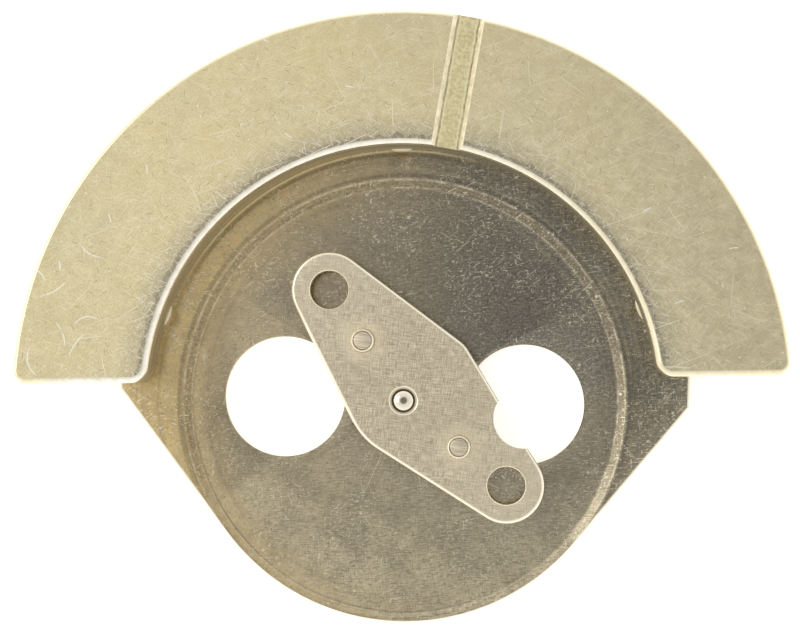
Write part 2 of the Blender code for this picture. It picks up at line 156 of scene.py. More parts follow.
# Steps and small gaps
GAP = 0.01 * MM
RUNNING_GAP = 0.015 * MM
OVERSHOOT = 0.5 * MM
MERGE = 1e-6
STEPS = 96
DISC_STEPS = 288
ARC_STEP = math.radians(1)
FILLET_STEP = math.radians(7.5)
BEND_STEPS = 5
DOME_STEPS = 10
SHARP = math.radians(28)
BREAK = 0.012 * MM
# Turn of the random cells, in radians, so that their rows don't follow the axes
CELL_TURN = 0.3

# Camera and floor
VIEW_WIDTH = 26.62 * MM
VIEW_MIDDLE = (-0.07 * MM, 2.86 * MM)
CAMERA_OVER = (3.99 * MM, 0.70 * MM)
CAMERA_HEIGHT = 90 * MM
CLIP_END = 10.0
FLOOR_HALF = 1.5
FLOOR_COLOUR = (0.86, 0.85, 0.81, 1.0)
FLOOR_GLOW = 0.60
LIGHT_COLOUR = (1.0, 0.985, 0.95)
SOFTBOX_PLACE = (-0.11, 0.03, 0.13)
SOFTBOX_SIZE = 0.10
SOFTBOX_POWER = 0.04
# The surroundings fade from the horizon to this direction, and are dimmest close round it
DIM_SIDE = (0.07, 0.08, 0.994)
FADE = (0.30, 0.98)
FADE_STRENGTH = (1.10, 0.74)
DIM_SPOT = (0.975, 0.998)
DIM_SPOT_DEPTH = 0.36


# Geometry helpers


def show(name, mesh):
    obj = bpy.data.objects.new(name, mesh)
    bpy.context.scene.collection.objects.link(obj)
    return obj


def from_build(name, build):
    mesh = bpy.data.meshes.new(name)
    bmesh.ops.recalc_face_normals(build, faces=build.faces)
    build.to_mesh(mesh)
    build.free()
    mesh.shade_smooth()
    return show(name, mesh)


def turned(name, profile, steps=STEPS):
    """A piece turned about Z from (radius, level) points. It ends on the axis, or it is closed."""
    build = bmesh.new()
    verts = [build.verts.new((radius, 0.0, level)) for radius, level in profile]
    edges = [build.edges.new(pair) for pair in zip(verts, verts[1:])]
    if profile[0][0] > 0.0:
        edges.append(build.edges.new((verts[-1], verts[0])))
    bmesh.ops.spin(
        build, geom=verts + edges, cent=(0, 0, 0), axis=(0, 0, 1), angle=math.tau, steps=steps
    )
    bmesh.ops.remove_doubles(build, verts=build.verts, dist=MERGE)
    return from_build(name, build)


def arc(centre, radius, start, end, step=ARC_STEP):
    """Points on an arc from one angle to another, with both ends."""
    count = max(2, math.ceil(abs(end - start) / step))
    angles = [start + (end - start) * i / count for i in range(count + 1)]
    return [(centre[0] + radius * math.cos(a), centre[1] + radius * math.sin(a)) for a in angles]


def turn_point(point, angle):
    x, y = point
    return (x * math.cos(angle) - y * math.sin(angle), x * math.sin(angle) + y * math.cos(angle))


def prism(name, outline, low, top):
    """A flat piece between two levels."""
    build = bmesh.new()
    base = build.faces.new([build.verts.new((x, y, low)) for x, y in outline])
    grown = bmesh.ops.extrude_face_region(build, geom=[base])["geom"]
    lifted = [item for item in grown if isinstance(item, bmesh.types.BMVert)]
    bmesh.ops.translate(build, verts=lifted, vec=(0.0, 0.0, top - low))
    return from_build(name, build)


def settle(obj):
    """Gives the object the mesh that its modifiers and place make, at the world's origin."""
    bpy.context.view_layer.update()
    graph = bpy.context.evaluated_depsgraph_get()
    mesh = bpy.data.meshes.new_from_object(obj.evaluated_get(graph))
    mesh.transform(obj.matrix_world)
    obj.modifiers.clear()
    obj.data = mesh
    obj.location = obj.rotation_euler = (0.0, 0.0, 0.0)
    return obj


def chamfered_piece(name, outline, low, top, width_at):
    """A flat piece with a softened chamfer round its top face, lofted through rings of points, because
    width_at gives each point of the anticlockwise outline its own chamfer width. The chamfer takes the
    second material."""
    rings = [[] for _ in range(len(EDGE_FORM) + 1)]
    for i, here in enumerate(outline):
        before, after = outline[i - 1], outline[(i + 1) % len(outline)]
        inward = math.atan2(here[1] - before[1], here[0] - before[0])
        outward = math.atan2(after[1] - here[1], after[0] - here[0])
        half_turn = ((outward - inward + math.pi) % math.tau - math.pi) / 2
        width = width_at(here)
        step = turn_point((0.0, width / math.cos(half_turn)), inward + half_turn)
        rings[0].append((*here, low))
        for ring, (share, drop) in zip(rings[1:], EDGE_FORM):
            ring.append((here[0] + step[0] * share, here[1] + step[1] * share, top - width * drop))
    build = bmesh.new()
    verts = [[build.verts.new(point) for point in ring] for ring in rings]
    for level, (lower, upper) in enumerate(zip(verts, verts[1:])):
        for i in range(len(lower)):
            face = build.faces.new((lower[i - 1], lower[i], upper[i], upper[i - 1]))
            face.material_index = min(1, level)
    build.faces.new(verts[0])
    build.faces.new(verts[-1])
    bmesh.ops.recalc_face_normals(build, faces=build.faces)
    return from_build(name, build)


def combine(obj, tool, operation="DIFFERENCE"):
    """Cuts obj with a tool, or keeps only what is inside it. A cut shows the tool's own material."""
    if not tool.data.materials:
        tool.data.materials.append(obj.data.materials[0])
    boolean = obj.modifiers.new("Cut", "BOOLEAN")
    boolean.operation = operation
    boolean.object = tool
    boolean.material_mode = "TRANSFER"
    settle(obj)
    bpy.data.objects.remove(tool)


def drill(obj, place, radius, low, top, flare=0.0, steps=STEPS, lining=None):
    """A round hole right through. A flare opens both of its edges at 45 degrees."""
    above, below = top + OVERSHOOT, low - OVERSHOOT
    wide = radius + flare + OVERSHOOT
    profile = [(0.0, above), (wide, above), (radius, top - flare), (radius, low + flare)]
    profile += [(wide, below), (0.0, below)]
    if not flare:
        profile = [(0.0, above), (radius, above), (radius, below), (0.0, below)]
    tool = turned("drill", profile, steps)
    tool.location = (*place, 0.0)
    if lining:
        coat(tool, lining)
    combine(obj, tool)


def middle_of(node):
    low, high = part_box(node)
    return ((low.x + high.x) / 2, (low.y + high.y) / 2)


def radius_of(node):
    low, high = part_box(node)
    return (high.x - low.x) / 2


def coat(obj, *materials):
    for material in materials:
        obj.data.materials.append(material)


def finish(obj, body, node, edge=BREAK):
    """Breaks the sharp edges and lets the piece stand for its CAD node."""
    bevel = obj.modifiers.new("Break", "BEVEL")
    bevel.limit_method = "ANGLE"
    bevel.angle_limit = SHARP
    bevel.width = edge
    bevel.segments = 2
    normals = obj.modifiers.new("Normals", "WEIGHTED_NORMAL")
    normals.keep_sharp = True
    settle(obj)
    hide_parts(node)
    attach(obj, body)


# Material helpers. Patterns are in millimetres on the piece.


def add(tree, kind, inputs=None, **settings):
    """A shader node. An input is a value, or another node's socket to link."""
    made = tree.nodes.new(kind)
    for key, value in settings.items():
        setattr(made, key, value)
    for key, value in (inputs or {}).items():
        if isinstance(value, bpy.types.NodeSocket):
            tree.links.new(value, made.inputs[key])
        else:
            made.inputs[key].default_value = value
    return made


def math_of(tree, operation, first, second=0.0):
    return add(tree, "ShaderNodeMath", {0: first, 1: second}, operation=operation).outputs[0]


def times(tree, first, *more):
    """The product of several sockets or values."""
    total = first
    for value in more:
        total = math_of(tree, "MULTIPLY", total, value)
    return total


def size_of(tree, value):
    return math_of(tree, "ABSOLUTE", value)


def spread(tree, value, low, high, to_low=0.0, to_high=1.0):
    """Maps low..high to another range, with the ends held."""
    inputs = {"Value": value, "From Min": low, "From Max": high, "To Min": to_low, "To Max": to_high}
    return add(tree, "ShaderNodeMapRange", inputs).outputs["Result"]


def blend_colours(tree, share, first, second):
    made = add(tree, "ShaderNodeMix", {"Factor": share}, data_type="RGBA")
    for index, value in ((6, first), (7, second)):
        if isinstance(value, bpy.types.NodeSocket):
            tree.links.new(value, made.inputs[index])
        else:
            made.inputs[index].default_value = (*value, 1.0)
    return made.outputs[2]


def place_on(tree, turn=0.0, cell=(1.0, 1.0, 1.0), shift=(0.0, 0.0, 0.0)):
    """Coordinates on the piece, turned about Z, in cells whose size is given in millimetres."""
    spot = add(tree, "ShaderNodeTexCoord").outputs["Object"]
    mapping = add(tree, "ShaderNodeMapping", {"Vector": spot}, vector_type="TEXTURE")
    mapping.inputs["Location"].default_value = [s * MM for s in shift]
    mapping.inputs["Rotation"].default_value = (0.0, 0.0, turn)
    mapping.inputs["Scale"].default_value = [c * MM for c in cell]
    return mapping.outputs["Vector"]


def axes_on(tree, turn=0.0):
    """The X, Y and Z of a place on the piece, in millimetres."""
    return add(tree, "ShaderNodeSeparateXYZ", {"Vector": place_on(tree, turn)}).outputs


def noise(tree, where, detail=2.0, roughness=0.5):
    inputs = {"Vector": where, "Scale": 1.0, "Detail": detail, "Roughness": roughness}
    return add(tree, "ShaderNodeTexNoise", inputs).outputs["Fac"]


def grain(tree, size, detail=3.0):
    return noise(tree, place_on(tree, cell=(size, size, size)), detail, 0.6)


def scratches(tree, turn, length, width, low, high, shift=0.0):
    """Thin straight marks in one direction. A higher low leaves fewer of them."""
    where = place_on(tree, turn, (length, width, length), (shift, shift, 0.0))
    return spread(tree, noise(tree, where, 1.0), low, high)


def in_cells(tree, spacing, shift):
    """A random cell pattern seen from above: the place in it, the cells and their random values."""
    where = place_on(tree, CELL_TURN, (spacing, spacing, spacing), (shift, shift, 0.0))
    cells = add(tree, "ShaderNodeTexVoronoi", {"Vector": where, "Scale": 1.0}, voronoi_dimensions="2D")
    chance = add(tree, "ShaderNodeSeparateColor", {"Color": cells.outputs["Color"]}).outputs
    return where, cells, chance


def dots(tree, spacing, size, share, shift=0.0):
    """Round specks. share is the part of the cells that hold one."""
    _, cells, chance = in_cells(tree, spacing, shift)
    mark = spread(tree, cells.outputs["Distance"], size / spacing, 0.4 * size / spacing)
    return times(tree, mark, math_of(tree, "LESS_THAN", chance["Red"], share))


def strokes(tree, spacing, length, width, share, bow=0.6, shift=0.0):
    """Short, slightly bowed marks that lie in every direction, at most one in a cell."""
    where, cells, chance = in_cells(tree, spacing, shift)
    inputs = {0: where, 1: cells.outputs["Position"]}
    local = add(tree, "ShaderNodeVectorMath", inputs, operation="SUBTRACT").outputs[0]
    inputs = {"Vector": local, "Angle": times(tree, chance["Green"], math.tau)}
    spun = add(tree, "ShaderNodeVectorRotate", inputs, rotation_type="Z_AXIS").outputs[0]
    spot = add(tree, "ShaderNodeSeparateXYZ", {"Vector": spun}).outputs
    curve = times(tree, spot["X"], spot["X"], spread(tree, chance["Blue"], 0.0, 1.0, -bow, bow))
    off = size_of(tree, math_of(tree, "SUBTRACT", spot["Y"], curve))
    half_width, half_length = width / spacing / 2, length / spacing / 2
    line = spread(tree, off, half_width, 0.4 * half_width)
    end = spread(tree, size_of(tree, spot["X"]), half_length, 0.7 * half_length)
    return times(tree, line, end, math_of(tree, "LESS_THAN", chance["Red"], share))


def upward(tree):
    """1 on faces that look up or down, 0 on walls."""
    normal = add(tree, "ShaderNodeTexCoord").outputs["Normal"]
    height = add(tree, "ShaderNodeSeparateXYZ", {"Vector": normal}).outputs["Z"]
    return spread(tree, size_of(tree, height), 0.6, 0.9)


def from_point(tree, x=0.0, y=0.0):
    """Distance in millimetres, seen from above, from a point. The axle's axis is at 0, 0."""
    inputs = {0: place_on(tree, shift=(x / MM, y / MM, 0.0)), 1: (1.0, 1.0, 0.0)}
    level = add(tree, "ShaderNodeVectorMath", inputs, operation="MULTIPLY").outputs[0]
    return add(tree, "ShaderNodeVectorMath", {0: level}, operation="LENGTH").outputs["Value"]


def band(tree, value, middle, half):
    """1 in the middle of a band, fading to 0 at its edges."""
    off = size_of(tree, math_of(tree, "SUBTRACT", value, middle))
    return spread(tree, off, half, 0.4 * half)


def joined(tree, marks):
    """The strongest of several masks."""
    total = marks[0]
    for mark in marks[1:]:
        total = math_of(tree, "MAXIMUM", total, mark)
    return total


def metal(name):
    """A new metal material, its tree and its shader."""
    material = bpy.data.materials.new(name)
    material.use_nodes = True
    tree = material.node_tree
    shader = tree.nodes["Principled BSDF"]
    shader.inputs["Metallic"].default_value = 1.0
    return material, tree, shader


def dress(tree, shader, colour, roughness, height, depth):
    """Links the colour and roughness, and a bump whose depth is in millimetres."""
    tree.links.new(colour, shader.inputs["Base Color"])
    tree.links.new(roughness, shader.inputs["Roughness"])
    bump = add(tree, "ShaderNodeBump", {"Height": height, "Strength": 1.0, "Distance": depth * MM})
    tree.links.new(bump.outputs["Normal"], shader.inputs["Normal"])


# Materials


def weight_ground(tree, fine, spot):
    """Grey-beige, darker to the right and at both ends, with soft patches and a fine grain."""
    side = spread(tree, spot["X"], -9.0, 11.0)
    colour = blend_colours(tree, side, (0.85, 0.73, 0.415), (0.67, 0.59, 0.375))
    broad = spread(tree, grain(tree, 2.6, 2.0), 0.35, 0.65, 0.0, 0.35)
    colour = blend_colours(tree, broad, colour, (0.66, 0.61, 0.44))
    ends = spread(tree, size_of(tree, spot["X"]), 6.0, 11.5, 0.0, 0.28)
    colour = blend_colours(tree, ends, colour, (0.46, 0.42, 0.29))
    patches = spread(tree, grain(tree, 0.5, 5.0), 0.42, 0.62, 0.0, 0.35)
    colour = blend_colours(tree, patches, colour, (0.93, 0.84, 0.56))
    pits = spread(tree, fine, 0.42, 0.64, 0.0, 0.42)
    return blend_colours(tree, pits, colour, (0.46, 0.41, 0.27))


def weight_edge_shade(tree, colour, fine, reach, flat):
    """Painted shade in a grainy zone beside the inner edge, and a ragged line of deeper painted shade
    in it.
    """
    # Painted shade: a grey zone beside the inner edge, broken up by the fine grain
    near_wall = spread(tree, reach, WALL + 1.05, WALL + 0.25)
    dull = times(tree, near_wall, spread(tree, fine, 0.3, 0.6, 0.2, 0.7), flat)
    colour = blend_colours(tree, dull, colour, (0.34, 0.31, 0.26))
    # A ragged line of deeper painted shade inside that zone
    waver = spread(tree, grain(tree, 0.3, 4.0), 0.3, 0.7, -0.12, 0.12)
    line = band(tree, math_of(tree, "ADD", reach, waver), WALL + 0.27, 0.12)
    return blend_colours(tree, times(tree, line, flat, 0.6), colour, (0.24, 0.21, 0.16))


def weight_lines(tree):
    """Scratches of every length and direction."""
    return joined(
        tree,
        [
            scratches(tree, 0.35, 2.2, 0.028, 0.70, 0.75),
            scratches(tree, -0.15, 3.0, 0.026, 0.71, 0.76, 11.0),
            times(tree, scratches(tree, 0.8, 0.42, 0.030, 0.60, 0.72, 3.0), 0.7),
            times(tree, scratches(tree, -0.5, 0.36, 0.030, 0.60, 0.72, 5.0), 0.7),
            times(tree, scratches(tree, 2.0, 0.30, 0.030, 0.62, 0.74, 8.0), 0.7),
            strokes(tree, 1.5, 1.2, 0.036, 0.35, 0.2, 2.0),
            times(tree, strokes(tree, 0.8, 0.5, 0.032, 0.5, 0.3), 0.8),
            times(tree, strokes(tree, 0.40, 0.22, 0.032, 0.55, 0.4, 7.0), 0.8),
        ],
    )


def weight_specks(tree, colour, spot, flat):
    """Bright specks and nicks, a few fibres near the left end, and dark specks and marks."""
    near_end = times(tree, spread(tree, spot["X"], -9.9, -10.2), spread(tree, spot["Y"], 5.6, 5.3))
    fibres = times(tree, strokes(tree, 1.2, 1.0, 0.055, 0.8, 1.8, 6.0), near_end)
    bright = [dots(tree, 0.62, 0.035, 0.3), strokes(tree, 2.2, 0.35, 0.06, 0.4, 1.5, 4.0), fibres]
    bright = times(tree, joined(tree, bright), flat, 0.75)
    colour = blend_colours(tree, bright, colour, (1.0, 0.98, 0.90))
    dark = [dots(tree, 0.8, 0.035, 0.25, 5.0), strokes(tree, 0.45, 0.22, 0.035, 0.45, 0.4, 9.0)]
    dark = times(tree, joined(tree, dark), flat, 0.45)
    return blend_colours(tree, dark, colour, (0.28, 0.25, 0.17))


def weight_alloy():
    """Satin grey-beige heavy alloy with many short scratches and specks, with painted shade beside the
    inner edge, where it is also more marked. Its walls are turned, with fine level lines, and the inner
    one is painted darker in level bands, a painted reflection of dark surroundings."""
    material, tree, shader = metal("weight_alloy")
    fine = grain(tree, 0.06)
    spot, reach, flat = axes_on(tree), from_point(tree), upward(tree)
    colour = weight_edge_shade(tree, weight_ground(tree, fine, spot), fine, reach, flat)
    lines = times(tree, weight_lines(tree), flat)
    worn = spread(tree, reach, 12.0, WALL + 0.65, 0.42, 0.80)
    colour = blend_colours(tree, times(tree, lines, worn), colour, (0.98, 0.93, 0.76))
    colour = weight_specks(tree, colour, spot, flat)
    turning = noise(tree, place_on(tree, cell=(3.0, 3.0, 0.035)), 2.0)
    walls = math_of(tree, "SUBTRACT", 1.0, flat)
    shade = times(tree, spread(tree, turning, 0.35, 0.65, 0.0, 0.5), walls)
    colour = blend_colours(tree, shade, colour, (0.46, 0.41, 0.30))
    # Painted reflection: the inner wall is darkened in level bands, as dark surroundings show in
    # polished metal
    reflection_bands = spread(tree, noise(tree, place_on(tree, cell=(8.0, 8.0, 0.28)), 1.0), 0.4, 0.6, 0.15, 0.85)
    inner_wall_dark_reflection = times(tree, spread(tree, reach, WALL + 0.65, WALL + 0.35), walls, reflection_bands)
    colour = blend_colours(tree, inner_wall_dark_reflection, colour, (0.34, 0.32, 0.28))
    roughness = spread(tree, fine, 0.3, 0.7, 0.34, 0.48)
    height = math_of(tree, "SUBTRACT", fine, times(tree, lines, 0.35))
    height = math_of(tree, "ADD", height, times(tree, turning, walls))
    dress(tree, shader, colour, roughness, height, 0.003)
    return material


def rim_edge_alloy():
    """The rim's polished chamfers, painted pale as a highlight: whitest on the inner left, creamier on
    the right and round the outer edge, with small dull patches."""
    material, tree, shader = metal("rim_edge_alloy")
    # Painted highlight, whitest on the left where the light falls
    side = spread(tree, axes_on(tree)["X"], -1.0, 8.0)
    colour = blend_colours(tree, side, (1.0, 0.95, 0.86), (0.92, 0.84, 0.62))
    outer = spread(tree, from_point(tree), 11.0, 12.5)
    colour = blend_colours(tree, outer, colour, (0.96, 0.86, 0.60))
    patches = spread(tree, grain(tree, 0.3, 4.0), 0.42, 0.62, 0.0, 0.4)
    colour = blend_colours(tree, patches, colour, (0.76, 0.69, 0.52))
    fine = grain(tree, 0.06)
    dress(tree, shader, colour, spread(tree, fine, 0.3, 0.7, 0.16, 0.28), fine, 0.0015)
    return material


def groove_metal():
    """The groove: bright, patchy sloping sides, a line of painted shade and a thin painted highlight
    along their feet, and a yellower, finely pebbled floor."""
    material, tree, shader = metal("groove_metal")
    pebbles = grain(tree, 0.12, 3.0)
    waver = spread(tree, grain(tree, 0.3, 2.0), 0.3, 0.7, -0.015, 0.015)
    off = math_of(tree, "ADD", size_of(tree, axes_on(tree, GROOVE_TURN)["Y"]), waver)
    floor = spread(tree, pebbles, 0.35, 0.65)
    colour = blend_colours(tree, floor, (0.66, 0.58, 0.34), (0.92, 0.83, 0.52))
    foot = GROOVE_FLOOR / 2 / MM
    # Painted highlight: a thin bright line along the feet of the sides
    glint = times(tree, band(tree, off, foot - 0.09, 0.05), 0.6)
    colour = blend_colours(tree, glint, colour, (1.0, 0.92, 0.62))
    slope = spread(tree, off, foot, foot + 0.01)
    colour = blend_colours(tree, slope, colour, (0.98, 0.90, 0.68))
    patches = spread(tree, grain(tree, 0.25, 4.0), 0.4, 0.6, 0.0, 0.6)
    colour = blend_colours(tree, times(tree, patches, slope), colour, (0.62, 0.57, 0.43))
    # A line of painted shade where the sides meet the floor
    line = times(tree, band(tree, off, foot - 0.02, 0.045), spread(tree, patches, 0.0, 0.6, 0.6, 0.3))
    colour = blend_colours(tree, line, colour, (0.20, 0.175, 0.11))
    roughness = spread(tree, grain(tree, 0.05), 0.3, 0.7, 0.30, 0.45)
    dress(tree, shader, colour, roughness, pebbles, 0.005)
    return material


def plate_ground(tree, low_end, drift, spot):
    """Pale brown on the left, dark grey on the right and lighter at the low end, all painted
    reflections of the surroundings, with stains.
    """
    # Painted reflection: pale brown on the left, dark grey on the right
    side = spread(tree, math_of(tree, "ADD", spot["X"], drift), -4.0, 5.5)
    colour = blend_colours(tree, side, (0.63, 0.52, 0.33), (0.180, 0.168, 0.160))
    # Painted reflection: lighter at the low end
    colour = blend_colours(tree, times(tree, low_end, 0.8), colour, (0.87, 0.76, 0.52))
    stain = spread(tree, grain(tree, 1.4, 5.0), 0.42, 0.62, 0.0, 0.45)
    return blend_colours(tree, stain, colour, (0.25, 0.22, 0.16))


def plate_turns(tree, colour, reach):
    """Soft light and dark rings outside the dish."""
    along = add(tree, "ShaderNodeCombineXYZ", {"X": times(tree, reach, 4.5)}).outputs[0]
    inputs = {0: along, 1: place_on(tree, cell=(7.0, 7.0, 7.0))}
    turns = noise(tree, add(tree, "ShaderNodeVectorMath", inputs).outputs[0], 3.0)
    outside = spread(tree, reach, 6.3, 7.2)
    light = times(tree, spread(tree, turns, 0.52, 0.66, 0.0, 0.30), outside)
    colour = blend_colours(tree, light, colour, (0.68, 0.56, 0.35))
    dark = times(tree, spread(tree, turns, 0.48, 0.34, 0.0, 0.42), outside)
    return blend_colours(tree, dark, colour, (0.22, 0.165, 0.09))


def plate_brushing(tree, colour, level, brushed):
    """Level and upright brushing, light and dark."""
    light = times(tree, spread(tree, level, 0.51, 0.63, 0.0, 0.45), brushed)
    colour = blend_colours(tree, light, colour, (0.72, 0.64, 0.47))
    dark = times(tree, spread(tree, level, 0.49, 0.37, 0.0, 0.45), brushed)
    colour = blend_colours(tree, dark, colour, (0.18, 0.16, 0.12))
    upright = noise(tree, place_on(tree, PLATE_BRUSH_TURN, (0.030, 0.30, 0.30), (3.0, 0.0, 0.0)), 2.0)
    dark = times(tree, spread(tree, upright, 0.50, 0.66, 0.0, 0.35), brushed)
    return blend_colours(tree, dark, colour, (0.15, 0.135, 0.105))


def plate_rings(tree, colour, reach, spot, mottle):
    """A band of painted shade on the dish's step with two lines on its edges that are partly worn and
    partly painted highlight, painted shade just outside it except at the low end, and a painted
    highlight with a band of painted shade inside it at the foot of the rim's wall on the upper left."""
    start, end = DISH_R / MM, (DISH_R + DISH_SLOPE) / MM
    upper = spread(tree, spot["Y"], -5.0, -1.5)
    # Painted shade just outside the step, kept off the low end
    brow_shade = times(tree, band(tree, reach, end + 0.10, 0.09), 0.35, upper)
    colour = blend_colours(tree, brow_shade, colour, (0.10, 0.085, 0.06))
    # Painted shade on the step's slope, kept off the low end
    slope = times(tree, band(tree, reach, (start + end) / 2, 0.20), upper)
    slope = times(tree, slope, spread(tree, mottle, 0.0, 0.4, 0.70, 0.35))
    colour = blend_colours(tree, slope, colour, (0.17, 0.135, 0.08))
    upper_left = times(tree, spread(tree, spot["Y"], 3.5, 5.5), spread(tree, spot["X"], 3.0, 1.0))
    # Painted highlight at the foot of the rim's wall on the upper left
    bright = times(tree, band(tree, reach, WALL - 0.06, 0.045), upper_left, 0.75)
    colour = blend_colours(tree, bright, colour, (1.0, 0.86, 0.58))
    # Painted shade just inside that highlight
    dark = times(tree, band(tree, reach, WALL - 0.19, 0.09), upper_left, 0.45)
    colour = blend_colours(tree, dark, colour, (0.14, 0.11, 0.07))
    # Bright lines on the step's edges: partly worn metal, partly painted highlight
    lines = joined(tree, [band(tree, reach, start + 0.03, 0.035), band(tree, reach, end - 0.04, 0.045)])
    wear_and_glint = spread(tree, grain(tree, 0.4, 5.0), 0.42, 0.60, 0.0, 0.55)
    return blend_colours(tree, times(tree, lines, wear_and_glint), colour, (0.72, 0.64, 0.45))


def plate_marks(tree, flat):
    """Bright scratches, short dashes and specks, denser in some places."""
    marks = joined(
        tree,
        [
            times(tree, strokes(tree, 1.7, 1.5, 0.028, 0.4, 0.1, 1.0), 0.5),
            scratches(tree, 0.04, 0.24, 0.036, 0.65, 0.73, 4.0),
            times(tree, scratches(tree, 1.5, 0.20, 0.034, 0.67, 0.75, 9.0), 0.8),
            times(tree, scratches(tree, 0.7, 0.5, 0.030, 0.68, 0.76, 2.0), 0.8),
            times(tree, strokes(tree, 0.75, 0.42, 0.036, 0.35, 0.3, 4.0), 0.8),
            times(tree, strokes(tree, 0.30, 0.14, 0.038, 0.40, 0.3, 7.0), 0.8),
            dots(tree, 0.42, 0.036, 0.35),
            dots(tree, 1.10, 0.065, 0.4, 3.0),
            strokes(tree, 0.85, 0.20, 0.055, 0.35, 1.2, 8.0),
            dots(tree, 0.17, 0.028, 0.35, 6.0),
        ],
    )
    return times(tree, marks, spread(tree, grain(tree, 1.7, 2.0), 0.38, 0.6, 0.30, 1.0), flat)


def plate_alloy():
    """Polished, plated sheet with brown stains, painted pale brown on the left and dark grey on the
    right as reflections of its surroundings, with a painted golden reflection of the rim's wall outside
    the dish on the left, brushed most at the low end, with dense specks and short fine marks."""
    material, tree, shader = metal("plate_alloy")
    spot, reach, flat = axes_on(tree), from_point(tree), upward(tree)
    broad = grain(tree, 3.2, 3.0)
    drift = times(tree, broad, 5.0)
    low_end = spread(tree, math_of(tree, "ADD", spot["Y"], drift), 3.0, -4.0)
    colour = plate_ground(tree, low_end, drift, spot)
    # Painted reflection of the rim's golden wall in the sheet, outside the dish on the left
    golden = times(tree, spread(tree, reach, 6.0, 7.9), spread(tree, spot["X"], 2.0, -6.0))
    colour = blend_colours(tree, times(tree, golden, 0.8), colour, (0.77, 0.56, 0.235))
    cool = spread(tree, from_point(tree, *PLATE_COOL_SPOT), 3.4, 1.2, 0.0, 0.6)
    colour = blend_colours(tree, cool, colour, (0.172, 0.168, 0.170))
    colour = plate_turns(tree, colour, reach)
    mottle = spread(tree, grain(tree, 0.075, 4.0), 0.42, 0.62, 0.0, 0.55)
    colour = blend_colours(tree, mottle, colour, (0.50, 0.44, 0.31))
    clouds = spread(tree, grain(tree, 0.42, 5.0), 0.40, 0.60, 0.0, 0.14)
    colour = blend_colours(tree, clouds, colour, (0.16, 0.145, 0.115))
    level = noise(tree, place_on(tree, PLATE_BRUSH_TURN, (0.28, 0.032, 0.42)), 2.0)
    brushed = times(tree, spread(tree, low_end, 0.0, 1.0, 0.45, 1.0), spread(tree, golden, 0.5, 0.1))
    colour = plate_brushing(tree, colour, level, brushed)
    colour = plate_rings(tree, colour, reach, spot, mottle)
    marks = plate_marks(tree, flat)
    colour = blend_colours(tree, times(tree, marks, 0.75), colour, (0.92, 0.85, 0.66))
    dark = [strokes(tree, 0.30, 0.15, 0.034, 0.5, 0.3, 11.0), dots(tree, 0.3, 0.04, 0.35, 13.0)]
    dark = times(tree, joined(tree, dark), flat, 0.35)
    colour = blend_colours(tree, dark, colour, (0.10, 0.09, 0.075))
    roughness = spread(tree, broad, 0.35, 0.65, 0.17, 0.28)
    height = math_of(tree, "ADD", times(tree, level, 0.4), marks)
    dress(tree, shader, colour, roughness, height, 0.0010)
    return material


def bridge_steel():
    """Warm grey steel with very fine brushing in two crossing directions, lighter at both ends, with a
    painted light halo round the pins."""
    material, tree, shader = metal("bridge_steel")
    flat = upward(tree)
    along = noise(tree, place_on(tree, BRUSH_TURN, (0.42, 0.028, 0.9)), 2.0)
    crossing = noise(tree, place_on(tree, BRUSH_TURN + math.pi / 2, (0.34, 0.028, 0.7)), 2.0)
    both = times(tree, math_of(tree, "ADD", along, crossing), 0.5)
    lines = spread(tree, both, 0.40, 0.60)
    colour = blend_colours(tree, lines, (0.47, 0.41, 0.30), (0.91, 0.805, 0.61))
    cloud = spread(tree, grain(tree, 1.6, 3.0), 0.4, 0.65, 0.0, 0.4)
    colour = blend_colours(tree, cloud, colour, (0.59, 0.515, 0.395))
    ends = spread(tree, from_point(tree), 2.0, 4.8, 0.0, 0.30)
    colour = blend_colours(tree, ends, colour, (0.90, 0.81, 0.63))
    for node in PINS:
        # Painted light: a bright halo round each pin
        near_pin = spread(tree, from_point(tree, *middle_of(node)), 0.95, 0.50)
        pin_halo_light = times(tree, near_pin, spread(tree, both, 0.3, 0.7, 0.3, 0.8))
        colour = blend_colours(tree, pin_halo_light, colour, (0.93, 0.82, 0.60))
    bright = [
        strokes(tree, 0.8, 0.7, 0.022, 0.4, 0.4),
        strokes(tree, 0.4, 0.3, 0.020, 0.4, 0.8, 5.0),
        dots(tree, 0.5, 0.022, 0.3),
    ]
    bright = times(tree, joined(tree, bright), flat, 0.4)
    colour = blend_colours(tree, bright, colour, (0.95, 0.92, 0.82))
    dark = [strokes(tree, 0.5, 0.4, 0.024, 0.4, 0.2, 8.0), dots(tree, 0.6, 0.03, 0.25, 3.0)]
    dark = times(tree, joined(tree, dark), flat, 0.35)
    colour = blend_colours(tree, dark, colour, (0.22, 0.19, 0.14))
    roughness = spread(tree, both, 0.35, 0.65, 0.30, 0.40)
    dress(tree, shader, colour, roughness, times(tree, both, flat), 0.0006)
    return material


def smooth_metal(name, colour, tint, roughness):
    """A turned or polished small piece, with faint turning marks and a little tarnish."""
    material, tree, shader = metal(name)
    tarnish = spread(tree, grain(tree, 0.35, 3.0), 0.4, 0.7, 0.0, 0.5)
    fine = grain(tree, 0.04)
    rough = spread(tree, fine, 0.3, 0.7, roughness * 0.8, roughness * 1.3)
    dress(tree, shader, blend_colours(tree, tarnish, colour, tint), rough, fine, 0.0006)
    return material


